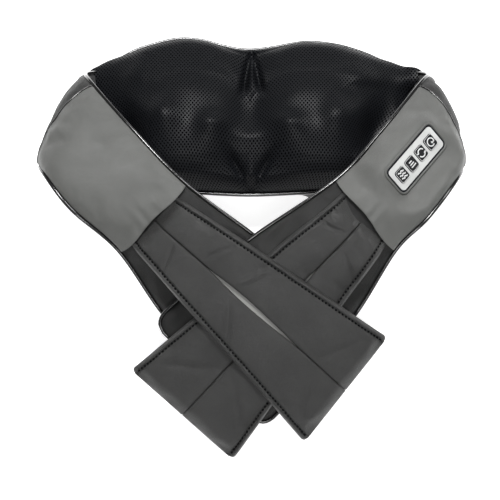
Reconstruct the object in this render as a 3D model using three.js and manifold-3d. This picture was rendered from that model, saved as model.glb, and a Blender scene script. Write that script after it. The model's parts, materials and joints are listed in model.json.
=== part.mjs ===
// Shiatsu neck massager with crossed arms and two hand straps, lying on its back cover.
// Millimetres, +Z up, origin at the centre of the footprint on the resting plane.
import * as THREE from "three";
import { mergeVertices } from "three/addons/utils/BufferGeometryUtils.js";
import Module from "manifold-3d";

const wasm = await Module();
wasm.setup();

// ---- driving dimensions -------------------------------------------------
const BODY_CENTRE = [0, 133];        // centre of the pillow body in plan
const SKIN = 1.4;                    // fabric and leather covers
const INLET_X = 104;                 // power inlet in the lower wall
const INLET_Z = 24;
const HEAD_X = 64;                   // massage head axis from the middle
const HEAD_Y = 112;
const NODE_RADIUS = 26;              // massage nodes from the head axis
const NODE_TURN = -12;               // rest angle of the left head, degrees
const WHEEL_TEETH = 30;
const MODULE = 1.25;                 // gear module
const WORM_PITCH_R = 6;
const WORM_Z = 33;
const SHAFT_R = 3;
const MOTOR_R = 14.3;
const PLATE_R = 36;                  // head plate
const ARM_HALF = 10;                 // half thickness of the padded arms
const RIM_HALF = 2;                  // half thickness of arms at the piped rims
const PIPE_R = 2.2;
const HINGE_S = 3;                   // arm station where the shoulder bend ends
const PANEL_END_S = 5;               // arm station where the grey panel ends
const TIP = 8;                       // last arm station
const STEP_S = 0.5;                  // facet length along an arm, in stations
const STEP_T = 0.125;                // facet width across an arm, as a share
const STRAP_SKIN = 2;                // one layer of a hand strap
const STRAP_GAP = 0.8;
const BUTTON_PITCH = 15.6;
const MODULE_LENGTH = 74;            // control module
const MODULE_WIDTH = 30;

const WHEEL_PITCH_R = (WHEEL_TEETH * MODULE) / 2;
const WORM_Y = HEAD_Y + WHEEL_PITCH_R + WORM_PITCH_R;
const WORM_LEAD = Math.PI * MODULE;

const root = new THREE.Group();
const V = (x, y, z) => new THREE.Vector3(x, y, z);
const rad = THREE.MathUtils.degToRad;

// ---- materials ----------------------------------------------------------
const paint = (color, roughness, metalness = 0) =>
  new THREE.MeshStandardMaterial({ color, roughness, metalness });
const MAT = {
  mesh: paint(0x24272a, 0.9),
  leather: paint(0x2f302f, 0.55),
  panel: paint(0x70716c, 0.6),
  piping: paint(0x161616, 0.25),
  lining: paint(0x2a2b2c, 0.85),
  backing: paint(0xb9bab6, 0.85),
  foam: paint(0x6d6f70, 0.95),
  housing: paint(0x2b2c2e, 0.6),
  node: paint(0x2c2d30, 0.35),
  nylon: paint(0xe6e2d6, 0.5),
  steel: paint(0xb4b6b8, 0.3, 1),
  brass: paint(0xc9a45a, 0.35, 1),
  motor: paint(0xa9abad, 0.35, 1),
  board: paint(0x1f5a36, 0.5),
  plate: paint(0xdfe0e0, 0.35),
  border: paint(0x191a20, 0.3),
  button: paint(0x3a3b3d, 0.5),
};

// ---- mesh helpers -------------------------------------------------------
function fromArrays(points, faces) {
  const g = new THREE.BufferGeometry();
  const flat = [];
  for (const p of points) flat.push(p.x, p.y, p.z);
  g.setAttribute("position", new THREE.Float32BufferAttribute(flat, 3));
  g.setIndex(faces.flat());
  return outward(g);
}

function volume(g) {
  const p = g.attributes.position;
  const ix = g.index;
  const a = V();
  const b = V();
  const c = V();
  let sum = 0;
  for (let i = 0; i < ix.count; i += 3) {
    a.fromBufferAttribute(p, ix.getX(i));
    b.fromBufferAttribute(p, ix.getX(i + 1));
    c.fromBufferAttribute(p, ix.getX(i + 2));
    sum += a.dot(b.cross(c));
  }
  return sum / 6;
}

function outward(g) {
  if (volume(g) < 0) {
    const ix = g.index.array;
    for (let i = 0; i < ix.length; i += 3) {
      const keep = ix[i + 1];
      ix[i + 1] = ix[i + 2];
      ix[i + 2] = keep;
    }
  }
  return g;
}

function merged(g) {
  const bare = g.index ? g.toNonIndexed() : g.clone();
  for (const name of Object.keys(bare.attributes)) {
    if (name !== "position") bare.deleteAttribute(name);
  }
  return outward(mergeVertices(bare, 1e-3));
}

function solid(g) {
  const m = merged(g);
  return new wasm.Manifold(
    new wasm.Mesh({
      numProp: 3,
      vertProperties: new Float32Array(m.attributes.position.array),
      triVerts: new Uint32Array(m.index.array),
    })
  );
}

function geometry(body) {
  const m = body.getMesh();
  const g = new THREE.BufferGeometry();
  const props = m.numProp;
  const count = m.vertProperties.length / props;
  const flat = new Float32Array(count * 3);
  for (let i = 0; i < count; i += 1) {
    for (let k = 0; k < 3; k += 1) flat[3 * i + k] = m.vertProperties[props * i + k];
  }
  g.setAttribute("position", new THREE.BufferAttribute(flat, 3));
  g.setIndex(Array.from(m.triVerts));
  return g;
}

const cut = (g, ...tools) =>
  geometry(tools.reduce((acc, t) => acc.subtract(solid(t)), solid(g)));
const join = (g, ...more) =>
  geometry(more.reduce((acc, t) => acc.add(solid(t)), solid(g)));

function add(name, g, material) {
  const clean = merged(g);
  clean.computeVertexNormals();
  const mesh = new THREE.Mesh(clean, material);
  mesh.name = name;
  root.add(mesh);
  return mesh;
}

const moved = (g, x, y, z) => g.clone().translate(x, y, z);

function cylinder(r, z0, z1, x, y, sides = 24) {
  const g = new THREE.CylinderGeometry(r, r, z1 - z0, sides);
  g.rotateX(Math.PI / 2);
  return g.translate(x, y, (z0 + z1) / 2);
}

function cylinderX(r, x0, x1, y, z, sides = 20) {
  const g = new THREE.CylinderGeometry(r, r, x1 - x0, sides);
  g.rotateZ(Math.PI / 2);
  return g.translate((x0 + x1) / 2, y, z);
}

function cylinderY(r, y0, y1, x, z, sides = 20) {
  return new THREE.CylinderGeometry(r, r, y1 - y0, sides).translate(x, (y0 + y1) / 2, z);
}

function ring(r0, r1, z0, z1, x, y, sides = 24) {
  const profile = [
    new THREE.Vector2(r0, z0),
    new THREE.Vector2(r1, z0),
    new THREE.Vector2(r1, z1),
    new THREE.Vector2(r0, z1),
    new THREE.Vector2(r0, z0),
  ];
  const g = new THREE.LatheGeometry(profile, sides);
  g.rotateX(Math.PI / 2);
  return g.translate(x, y, 0);
}

function box(x0, x1, y0, y1, z0, z1) {
  const g = new THREE.BoxGeometry(x1 - x0, y1 - y0, z1 - z0);
  return g.translate((x0 + x1) / 2, (y0 + y1) / 2, (z0 + z1) / 2);
}

function roundedShape(w, h, r, seg = 4) {
  const pts = [];
  const corners = [[1, 1, 0], [-1, 1, 90], [-1, -1, 180], [1, -1, 270]];
  for (const [sx, sy, start] of corners) {
    for (let i = 0; i <= seg; i += 1) {
      const a = rad(start + (90 * i) / seg);
      const x = sx * (w / 2 - r) + r * Math.cos(a);
      const y = sy * (h / 2 - r) + r * Math.sin(a);
      pts.push(new THREE.Vector2(x, y));
    }
  }
  return pts;
}

function prism(points, z0, z1) {
  const g = new THREE.ExtrudeGeometry(new THREE.Shape(points), {
    depth: z1 - z0,
    bevelEnabled: false,
    curveSegments: 1,
  });
  return g.translate(0, 0, z0);
}

function mirrorX(g) {
  const m = g.clone().scale(-1, 1, 1);
  return merged(m);
}

// a tube swept along points, closed at both ends
function tube(points, r, steps, sides = 6) {
  const path = new THREE.CatmullRomCurve3(points);
  const circle = [];
  for (let i = 0; i < sides; i += 1) {
    const a = (2 * Math.PI * i) / sides;
    circle.push(new THREE.Vector2(r * Math.cos(a), r * Math.sin(a)));
  }
  return new THREE.ExtrudeGeometry(new THREE.Shape(circle), {
    steps,
    bevelEnabled: false,
    extrudePath: path,
  });
}

// both ends and every multiple of the step between them
function stops(from, to, step) {
  const list = [from];
  for (let k = Math.ceil(from / step + 0.2); k * step < to - 0.2 * step; k += 1) list.push(k * step);
  list.push(to);
  return list;
}

// a closed slab over a surface, between two offset functions; all slabs on
// one surface share their inner stops, so that layers stay parallel
function slab(at, s0, s1, t0, t1, low, high, stepS, stepT) {
  const sList = stops(s0, s1, stepS);
  const tList = stops(t0, t1, stepT);
  const ns = sList.length - 1;
  const nt = tList.length - 1;
  const points = [];
  for (const side of [low, high]) {
    for (const s of sList) {
      for (const t of tList) points.push(at(s, t, side(s, t)));
    }
  }
  const row = nt + 1;
  const half = (ns + 1) * row;
  const faces = [];
  const quad = (a, b, c, d) => faces.push([a, b, c], [a, c, d]);
  for (let i = 0; i < ns; i += 1) {
    for (let j = 0; j < nt; j += 1) {
      const a = i * row + j;
      quad(a, a + row, a + row + 1, a + 1);
      quad(half + a, half + a + 1, half + a + row + 1, half + a + row);
    }
    const left = i * row;
    quad(left, half + left, half + left + row, left + row);
    const right = i * row + nt;
    quad(right, right + row, half + right + row, half + right);
  }
  const last = ns * row;
  for (let j = 0; j < nt; j += 1) {
    quad(j, j + 1, half + j + 1, half + j);
    quad(last + j, half + last + j, half + last + j + 1, last + j + 1);
  }
  return fromArrays(points, faces);
}

// a bowl or dome with a wall, from loops that start at the rim
function shell(outer, inner) {
  const n = outer[0].length;
  const points = [...outer.flat(), ...inner.flat()];
  const faces = [];
  const base = outer.length * n;
  const strip = (a, b, flip) => {
    for (let i = 0; i < n; i += 1) {
      const j = (i + 1) % n;
      if (flip) faces.push([a + i, b + j, a + j], [a + i, b + i, b + j]);
      else faces.push([a + i, a + j, b + j], [a + i, b + j, b + i]);
    }
  };
  for (let k = 0; k + 1 < outer.length; k += 1) strip(k * n, (k + 1) * n, false);
  for (let k = 0; k + 1 < inner.length; k += 1) strip(base + k * n, base + (k + 1) * n, true);
  strip(0, base, true);
  const close = (start, loop, flip) => {
    const c = V();
    for (const p of loop) c.add(p);
    points.push(c.divideScalar(n));
    const m = points.length - 1;
    for (let i = 0; i < n; i += 1) {
      const j = (i + 1) % n;
      faces.push(flip ? [start + j, start + i, m] : [start + i, start + j, m]);
    }
  };
  close((outer.length - 1) * n, outer[outer.length - 1], false);
  close(base + (inner.length - 1) * n, inner[inner.length - 1], true);
  return fromArrays(points, faces);
}

// ---- pillow body --------------------------------------------------------
// Rim of the pillow seen from above, clockwise from the upper left end.
const RIM = [
  [-152, 185], [-145, 193], [-131, 202], [-116, 210], [-87, 219], [-70, 221], [-51, 219],
  [-31, 213], [-14, 209], [3, 208], [26, 211], [51, 216], [68, 217], [95, 213],
  [119, 205], [132, 199], [145, 192], [152, 185], [152, 155], [152, 123], [152, 92], [152, 64],
  [144, 58], [120, 54], [90, 51], [64, 49], [30, 47], [0, 46], [-30, 47], [-64, 49],
  [-90, 51], [-120, 54], [-144, 58], [-152, 64], [-152, 92], [-152, 123], [-152, 155],
];
const rimHeight = (y) => 46 + ((y - 46) / 175) * 8;

function loopAt(inset, z, follow) {
  return RIM.map(([x, y]) => {
    const dx = x - BODY_CENTRE[0];
    const dy = y - BODY_CENTRE[1];
    const k = 1 - inset / Math.hypot(dx, dy);
    return V(BODY_CENTRE[0] + dx * k, BODY_CENTRE[1] + dy * k, z + follow * (rimHeight(y) - 50));
  });
}

const TOP = [[0, 50.2, 1], [1.5, 60, 0.8], [5, 70, 0.5], [12, 80, 0.2], [21, 88, 0], [32, 93, 0],
  [46, 95.5, 0], [62, 96.5, 0]];
const BASE = [[0, 49.8, 1], [0, 30, 0.5], [2.5, 17, 0.1], [7, 7.5, 0], [13, 2.2, 0], [20, 0, 0],
  [45, 0, 0]];

const topOuter = TOP.map(([d, z, f]) => loopAt(d, z, f));
const topInner = TOP.map(([d, z, f], i) => loopAt(d + SKIN, i ? z - SKIN : z, f));
add("mesh_cover", shell(topOuter, topInner), MAT.mesh);

const baseOuter = BASE.map(([d, z, f]) => loopAt(d, z, f));
const baseInner = BASE.map(([d, z, f], i) => loopAt(d + SKIN, i ? z + SKIN : z, f));
const backCover = cut(shell(baseOuter, baseInner), cylinderY(7.3, 40, 66, INLET_X, INLET_Z));
add("back_cover", backCover, MAT.leather);

const rimPath = (from, to) => {
  const pts = [];
  for (let i = from; i <= to; i += 1) {
    const [x, y] = RIM[i];
    const before = RIM[i - 1];
    const after = RIM[i + 1];
    const out = V(before[1] - after[1], after[0] - before[0], 0).normalize().multiplyScalar(2.8);
    pts.push(V(x + out.x, y + out.y, rimHeight(y)));
  }
  return pts;
};
add("piping_upper", tube(rimPath(1, 16), PIPE_R, 30), MAT.piping);
add("piping_lower", tube(rimPath(22, 32), PIPE_R, 18), MAT.piping);

// round power inlet in the lower wall of the back cover
const inletBody = cut(
  join(cylinderY(7, 47, 62, INLET_X, INLET_Z), cylinderY(9.5, 44.6, 47, INLET_X, INLET_Z)),
  cylinderY(2.8, 44, 57, INLET_X, INLET_Z, 16)
);
add("dc_inlet", join(inletBody, cylinderY(1, 46, 58, INLET_X, INLET_Z, 8)), MAT.border);

// ---- massage mechanism --------------------------------------------------
const HOUSE_Y = 112;
const trayOuter = roundedShape(232, 92, 26).map((p) => p.add(new THREE.Vector2(0, HOUSE_Y)));
const trayInner = roundedShape(227, 87, 23.5).map((p) => p.add(new THREE.Vector2(0, HOUSE_Y)));
const bosses = [];
for (const sx of [-1, 1]) {
  bosses.push(cylinder(8, 7, 15, sx * HEAD_X, HEAD_Y));
  bosses.push(cylinder(3, 7, 27.7, sx * 26, 74, 10));
  bosses.push(cylinder(3, 7, 27.7, sx * 26, 94, 10));
}
let rear = cut(prism(trayOuter, 5.5, 49.7), prism(trayInner, 8, 60));
rear = join(rear, ...bosses, box(-20, 20, 128, 145, 7, 18.4));
rear = cut(
  rear,
  cylinder(5.3, 9.5, 40, -HEAD_X, HEAD_Y),
  cylinder(5.3, 9.5, 40, HEAD_X, HEAD_Y)
);
add("rear_housing", rear, MAT.housing);

const lidHoles = [];
for (const sx of [-1, 1]) lidHoles.push(cylinder(5.4, 45, 60, sx * HEAD_X, HEAD_Y));
add("front_housing", cut(prism(trayOuter, 50, 52.6), ...lidHoles), MAT.housing);

const foamOuter = loopAt(8, 0, 0).map((p) => new THREE.Vector2(p.x, p.y));
const foamHole = roundedShape(234, 94, 27).map((p) => p.add(new THREE.Vector2(0, HOUSE_Y)));
add("foam_surround", cut(prism(foamOuter, 17, 45), prism(foamHole, 10, 60),
  cylinderY(8.5, 40, 68, INLET_X, INLET_Z)), MAT.foam);

add("motor_can", ringX(2.2, MOTOR_R, -28, 28), MAT.motor);
add("motor_end_cap", ringX(2.2, 12, 28.4, 34), MAT.housing);

function ringX(r0, r1, x0, x1) {
  const g = ring(r0, r1, x0, x1, 0, 0, 20);
  g.rotateY(Math.PI / 2);
  return g.translate(0, WORM_Y, WORM_Z);
}
add("motor_shaft", cylinderX(1.6, -80, 80, WORM_Y, WORM_Z, 12), MAT.steel);

const board = cut(box(-34, 34, 70, 98, 28, 29.6), cylinder(1.4, 20, 40, -26, 74, 8),
  cylinder(1.4, 20, 40, 26, 74, 8));
const parts = [box(-16, -4, 78, 90, 29.2, 33), box(4, 14, 76, 84, 29.2, 35),
  box(20, 30, 84, 92, 29.2, 38)];
add("main_board", join(board, ...parts), MAT.board);

// Worm thread: one start, flank points around the axis, twisted once per lead.
function wormGeometry(x0, x1, hand) {
  const profile = [];
  for (const a of [-120, -80, -40, 0, 40, 80, 120, 160, 200]) {
    const away = Math.abs(a > 180 ? a - 360 : a);
    let r = WORM_PITCH_R - 1.4;
    if (away < 120) r = WORM_PITCH_R + 1 - (Math.max(0, away - 40) / 80) * 2.4;
    profile.push([rad(a), r]);
  }
  const layers = Math.round(((x1 - x0) / WORM_LEAD) * 9);
  const points = [];
  const faces = [];
  const n = profile.length;
  for (let k = 0; k <= layers; k += 1) {
    const x = x0 + ((x1 - x0) * k) / layers;
    const turn = (hand * 2 * Math.PI * (x - (x0 + x1) / 2)) / WORM_LEAD;
    for (const [a, r] of profile) points.push(V(x, r * Math.cos(a + turn), r * Math.sin(a + turn)));
  }
  for (let k = 0; k < layers; k += 1) {
    for (let i = 0; i < n; i += 1) {
      const j = (i + 1) % n;
      const a = k * n;
      faces.push([a + i, a + j, a + n + j], [a + i, a + n + j, a + n + i]);
    }
  }
  const capStart = points.length;
  points.push(V(x0, 0, 0), V(x1, 0, 0));
  for (let i = 0; i < n; i += 1) {
    const j = (i + 1) % n;
    faces.push([i, capStart, j], [layers * n + i, layers * n + j, capStart + 1]);
  }
  return cut(fromArrays(points, faces), cylinderX(1.9, x0 - 2, x1 + 2, 0, 0, 12));
}

// Worm wheel: teeth as a twisted prism, so that they follow the thread.
function wheelGeometry(z0, z1, lean) {
  const points = [];
  const faces = [];
  const flank = [[-1.31, -1.4], [-0.44, 1], [0.44, 1], [1.31, -1.4]];
  const ringPts = [];
  for (let k = 0; k < WHEEL_TEETH; k += 1) {
    // a gap faces the worm thread, which stands at its middle plane
    const centre = Math.PI / 2 + ((k + 0.5) * 2 * Math.PI) / WHEEL_TEETH;
    for (const [w, h] of flank) ringPts.push([centre + w / WHEEL_PITCH_R, WHEEL_PITCH_R + h]);
  }
  const n = ringPts.length;
  const mid = (z0 + z1) / 2;
  for (const z of [z0, z1]) {
    const turn = (lean * (z - mid)) / WHEEL_PITCH_R;
    for (const [a, r] of ringPts) points.push(V(r * Math.cos(a + turn), r * Math.sin(a + turn), z));
  }
  for (let i = 0; i < n; i += 1) {
    const j = (i + 1) % n;
    faces.push([i, j, n + j], [i, n + j, n + i]);
  }
  const c = points.length;
  points.push(V(0, 0, z0), V(0, 0, z1));
  for (let i = 0; i < n; i += 1) {
    const j = (i + 1) % n;
    faces.push([i, c, j], [n + i, n + j, c + 1]);
  }
  return cut(fromArrays(points, faces), cylinder(SHAFT_R + 0.3, z0 - 2, z1 + 2, 0, 0));
}

// The thread's crest points at the wheel (towards -Y) at mid length.
const LEAN = WORM_LEAD / (2 * Math.PI * WORM_PITCH_R);
const wormLeft = wormGeometry(-7, 7, 1).rotateX(Math.PI);
const wheelLeft = wheelGeometry(WORM_Z - 3.5, WORM_Z + 3.5, LEAN);

function nodeGeometry(r, z0, z1) {
  const h = z1 - z0;
  const profile = [[0, 0], [r * 0.86, 0], [r, h * 0.28], [r, h * 0.52], [r * 0.82, h * 0.8],
    [r * 0.45, h * 0.95], [0, h]];
  const g = new THREE.LatheGeometry(profile.map(([x, y]) => new THREE.Vector2(x, y + z0)), 14);
  g.rotateX(Math.PI / 2);
  return g;
}

function headPlate() {
  const profile = [[3.3, 54.2], [7, 54.2], [7, 57], [PLATE_R, 57], [PLATE_R, 61], [0, 61], [0, 59.2],
    [3.3, 59.2], [3.3, 54.2]];
  const g = new THREE.LatheGeometry(profile.map(([x, y]) => new THREE.Vector2(x, y)), 24);
  g.rotateX(Math.PI / 2);
  return g;
}

for (const [tag, sx] of [["left", -1], ["right", 1]]) {
  const flip = (g) => (sx < 0 ? g : mirrorX(g));
  add(`worm_${tag}`, flip(wormLeft.clone()).translate(sx * HEAD_X, WORM_Y, WORM_Z), MAT.steel);
  add(`worm_wheel_${tag}`, flip(wheelLeft.clone()).translate(sx * HEAD_X, HEAD_Y, 0), MAT.nylon);
  add(`output_shaft_${tag}`, cylinder(SHAFT_R, 10, 59, sx * HEAD_X, HEAD_Y), MAT.steel);
  add(`bush_lower_${tag}`, ring(SHAFT_R + 0.08, 5, 9.8, 15.5, sx * HEAD_X, HEAD_Y), MAT.brass);
  add(`bush_upper_${tag}`, ring(SHAFT_R + 0.08, 5, 49, 53.8, sx * HEAD_X, HEAD_Y), MAT.brass);
  add(`head_plate_${tag}`, headPlate().translate(sx * HEAD_X, HEAD_Y, 0), MAT.housing);
  const pattern = [["node_large_a", 0, 14, 90], ["node_large_b", 180, 14, 90],
    ["node_small_a", 90, 10.5, 83], ["node_small_b", 270, 10.5, 83]];
  for (const [name, turn, r, top] of pattern) {
    const a = rad(turn + NODE_TURN);
    const x = sx * (HEAD_X - NODE_RADIUS * Math.cos(a));
    const y = HEAD_Y + NODE_RADIUS * Math.sin(a);
    add(`${name}_${tag}`, nodeGeometry(r, 61.3, top).translate(x, y, 0), MAT.node);
  }
}

// ---- arms ---------------------------------------------------------------
// Rim stations from the pillow's end, around the fold, to the crossed tip.
const LEFT_INNER = [
  [-154, 184, 52], [-164, 179, 57], [-170, 164, 82], [-160, 140, 108], [-122, 90, 119],
  [-64, 28, 114], [5, -21, 96], [54, -59, 77], [100, -95, 58]];
const LEFT_OUTER = [
  [-154, 64, 46], [-186, 60, 49], [-209, 61, 84], [-199, 37, 118], [-171, 0, 120],
  [-127, -33, 95], [-85, -86, 62], [-35, -138, 36], [18, -186, 10]];
const RIGHT_INNER = [
  [154, 184, 52], [174, 179, 57], [184, 163, 82], [172, 139, 110], [127, 75, 128],
  [84, 25, 131], [5, -28, 117], [-43, -63, 98], [-92, -103, 78]];
const RIGHT_OUTER = [
  [154, 64, 46], [188, 60, 49], [210, 58, 86], [200, 31, 122], [169, -12, 129],
  [139, -39, 115], [104, -89, 85], [60, -143, 57], [12, -194, 30]];

function surface(innerPts, outerPts, sign) {
  const inner = new THREE.CatmullRomCurve3(innerPts.map((p) => V(...p)), false, "catmullrom");
  const outer = new THREE.CatmullRomCurve3(outerPts.map((p) => V(...p)), false, "catmullrom");
  const last = innerPts.length - 1;
  const mid = (s, t) => {
    const u = Math.min(1, Math.max(0, s / last));
    return inner.getPoint(u).lerp(outer.getPoint(u), t);
  };
  const normal = (s, t) => {
    const e = 0.04;
    const ds = mid(Math.min(last, s + e), t).sub(mid(Math.max(0, s - e), t));
    const dt = mid(s, 1).sub(mid(s, 0));
    return dt.cross(ds).normalize().multiplyScalar(sign);
  };
  return (s, t, n) => mid(s, t).addScaledVector(normal(s, t), n);
}

const armLeft = surface(LEFT_INNER, LEFT_OUTER, 1);
const armRight = surface(RIGHT_INNER, RIGHT_OUTER, -1);
const CROWN = [0, 0.64, 0.86, 0.97, 1, 0.97, 0.86, 0.64, 0];
function half(s, t) {
  const k = Math.min(7, Math.floor(t * 8));
  const edge = CROWN[k] + (CROWN[k + 1] - CROWN[k]) * (t * 8 - k);
  let thick = ARM_HALF;
  if (s < 2) thick = ARM_HALF + 11 * Math.pow(1 - s / 2, 1.5);
  if (s > TIP - 0.4) thick = RIM_HALF + (thick - RIM_HALF) * Math.sqrt((TIP - s) / 0.4);
  return RIM_HALF + (thick - RIM_HALF) * edge;
}

// Space for the control module, leaning outwards on the right arm.
const CTRL_S = 3.76;
const CTRL_T = 0.51;
const ctrlNormal = V(0.43, -0.22, 0.875).normalize();
const ctrlLong = V(47, 57, -6).normalize();
ctrlLong.addScaledVector(ctrlNormal, -ctrlLong.dot(ctrlNormal)).normalize();
const ctrlWide = ctrlNormal.clone().cross(ctrlLong);
const ctrlOrigin = armRight(CTRL_S, CTRL_T, ARM_HALF + 2.2);
const ctrlFrame = new THREE.Matrix4().makeBasis(ctrlLong, ctrlWide, ctrlNormal);
ctrlFrame.setPosition(ctrlOrigin);
const inCtrl = (g) => g.clone().applyMatrix4(ctrlFrame);
const pocketShape = roundedShape(MODULE_LENGTH + 0.6, MODULE_WIDTH + 0.6, 6.3);
const ctrlPocket = inCtrl(prism(pocketShape, -11.3, 40));

for (const [tag, at] of [["left", armLeft], ["right", armRight]]) {
  const plus = (gap) => (s, t) => half(s, t) + gap;
  const minus = (gap) => (s, t) => -half(s, t) - gap;
  add(`shoulder_bend_${tag}`,
    slab(at, 0.03, HINGE_S, 0, 1, minus(0), plus(0), STEP_S, STEP_T), MAT.leather);
  const pocket = (g) => (tag === "right" ? cut(g, ctrlPocket) : g);
  add(`arm_foam_${tag}`, pocket(slab(at, HINGE_S + 0.04, TIP, 0.012, 0.988,
    minus(-1.75), plus(-1.75), STEP_S, STEP_T)), MAT.foam);
  add(`arm_outer_cover_${tag}`, pocket(slab(at, HINGE_S + 0.04, TIP, 0, 1, plus(-1.2), plus(0),
    STEP_S, STEP_T)), MAT.leather);
  add(`arm_inner_cover_${tag}`, slab(at, HINGE_S + 0.04, TIP, 0, 1, minus(0), minus(-1.2),
    STEP_S, STEP_T), MAT.lining);
  add(`arm_panel_${tag}`, pocket(slab(at, HINGE_S + 0.06, PANEL_END_S, 0.02, 0.98, plus(0.35), plus(1.5),
    STEP_S, STEP_T)), MAT.panel);
  const rim = [];
  for (let s = HINGE_S + 0.1; s <= TIP - 0.02; s += 0.3) rim.push(at(s, -0.032, 0));
  for (const t of [-0.03, 0.12, 0.31, 0.5, 0.69, 0.88, 1.03]) {
    rim.push(at(TIP, t, 0).add(tipOut(at, t)));
  }
  for (let s = TIP - 0.1; s >= HINGE_S + 0.09; s -= 0.3) rim.push(at(s, 1.031, 0));
  add(`arm_piping_${tag}`, tube(rim, PIPE_R, 56, 5), MAT.piping);
}

function tipOut(at, t) {
  const along = at(TIP, t, 0).sub(at(TIP - 0.1, t, 0)).normalize();
  return along.multiplyScalar(3.5);
}

// ---- control module on the right arm ------------------------------------
const trayOut = roundedShape(MODULE_LENGTH, MODULE_WIDTH, 6);
const trayIn = roundedShape(MODULE_LENGTH - 4.8, MODULE_WIDTH - 4.8, 4);
const tray = cut(prism(trayOut, -11, 0.6), prism(trayIn, -9.4, 5));
add("control_housing", inCtrl(tray), MAT.border);
const buttonCentres = [1.5, 0.5, -0.5, -1.5].map((k) => k * BUTTON_PITCH);
const plateHoles = buttonCentres.map((x) => moved(prism(roundedShape(13, 13.6, 2.6), -6, 6), x, 0, 0));
const plateShape = roundedShape(MODULE_LENGTH - 5.4, MODULE_WIDTH - 5.4, 3.7);
add("control_plate", inCtrl(cut(prism(plateShape, -1.2, 0.9), ...plateHoles)), MAT.plate);
add("control_board", inCtrl(prism(roundedShape(66, 24, 2), -9, -7.4)), MAT.board);
const BUTTONS = ["button_power", "button_direction", "button_speed", "button_heat"];
BUTTONS.forEach((name, i) => {
  const x = buttonCentres[i];
  const cap = moved(prism(roundedShape(12.2, 12.8, 2.3), -1.2, 1.8), x, 0, 0);
  const stem = moved(prism(roundedShape(5, 5, 1.2), -5.8, -1), x, 0, 0);
  add(name, inCtrl(join(cap, stem)), MAT.button);
});

// ---- hand straps --------------------------------------------------------
// Hem stations from the root, sewn under the grey panel, to the folded end.
const STRAP_LEFT_INNER = [[-73, 11, 129], [-42, -13, 135], [-11, -35, 137],
  [29, -60, 127], [80, -91, 111], [132, -119, 85]];
const STRAP_LEFT_OUTER = [[-119, -29, 110], [-93, -59, 111], [-67, -89, 109],
  [-33, -124, 94], [10, -168, 71], [53, -211, 38]];
const STRAP_RIGHT_INNER = [[89, 7, 146], [65, -12, 137], [34, -35, 130],
  [-12, -71, 112], [-63, -109, 92], [-115, -146, 66]];
const STRAP_RIGHT_OUTER = [[131, -37, 130], [114, -60, 119], [92, -86, 103],
  [58, -130, 81], [21, -178, 56], [-17, -225, 25]];

for (const [tag, inner, outer, sign] of [
  ["left", STRAP_LEFT_INNER, STRAP_LEFT_OUTER, 1],
  ["right", STRAP_RIGHT_INNER, STRAP_RIGHT_OUTER, -1],
]) {
  const at = surface(inner, outer, sign);
  const hi = STRAP_GAP / 2 + STRAP_SKIN;
  const lo = STRAP_GAP / 2;
  const level = (n) => () => n;
  const last = inner.length - 1;
  const sheet = (s0, s1, t0, t1, low, high, stepT) =>
    slab(at, s0, s1, t0, t1, level(low), level(high), 1 / 3, stepT);
  add(`strap_band_inner_${tag}`, sheet(0, last, 0, 0.496, lo, hi, 0.124), MAT.leather);
  add(`strap_band_outer_${tag}`, sheet(0, last, 0.504, 1, lo, hi, 0.124), MAT.leather);
  add(`strap_lining_${tag}`, sheet(0.03, last - 0.03, 0.01, 0.99, -hi, -lo, 0.25), MAT.backing);
}

export default root;
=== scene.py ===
"""Looks of the shiatsu neck massager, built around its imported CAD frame.

Lengths are in millimetres until a mesh is made. X is to the right, Y towards the pillow, Z up. A
place on an arm or strap is its station s along the strip and its share t across it.
"""

import json
import math

import bpy
import numpy as np
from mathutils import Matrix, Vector, noise


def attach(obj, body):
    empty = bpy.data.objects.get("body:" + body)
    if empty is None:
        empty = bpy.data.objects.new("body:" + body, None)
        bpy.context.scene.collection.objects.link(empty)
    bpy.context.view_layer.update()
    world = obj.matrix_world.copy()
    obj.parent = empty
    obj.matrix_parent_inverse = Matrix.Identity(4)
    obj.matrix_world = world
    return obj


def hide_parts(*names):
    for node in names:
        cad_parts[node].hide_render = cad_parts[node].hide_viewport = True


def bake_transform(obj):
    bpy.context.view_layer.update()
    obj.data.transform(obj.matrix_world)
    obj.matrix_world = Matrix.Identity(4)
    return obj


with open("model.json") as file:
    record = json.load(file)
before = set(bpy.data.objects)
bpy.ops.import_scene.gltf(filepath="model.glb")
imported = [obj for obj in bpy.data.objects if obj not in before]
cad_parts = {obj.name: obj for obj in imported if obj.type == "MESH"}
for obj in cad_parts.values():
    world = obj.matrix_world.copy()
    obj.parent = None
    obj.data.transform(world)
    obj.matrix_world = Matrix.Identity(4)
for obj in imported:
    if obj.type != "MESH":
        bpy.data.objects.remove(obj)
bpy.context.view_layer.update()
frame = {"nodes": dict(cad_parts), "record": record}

MM = 0.001
SIDES = {"left": -1, "right": 1}

# ---- driving dimensions ---------------------------------------------------
BODY_CENTRE = np.array([0.0, 133.0])
HEAD = (64.0, 112.0)
ARM_HALF = 10.0
TIP = 8.0
TIP_RADIUS = 14.0
WELT_R = 1.9

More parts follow.
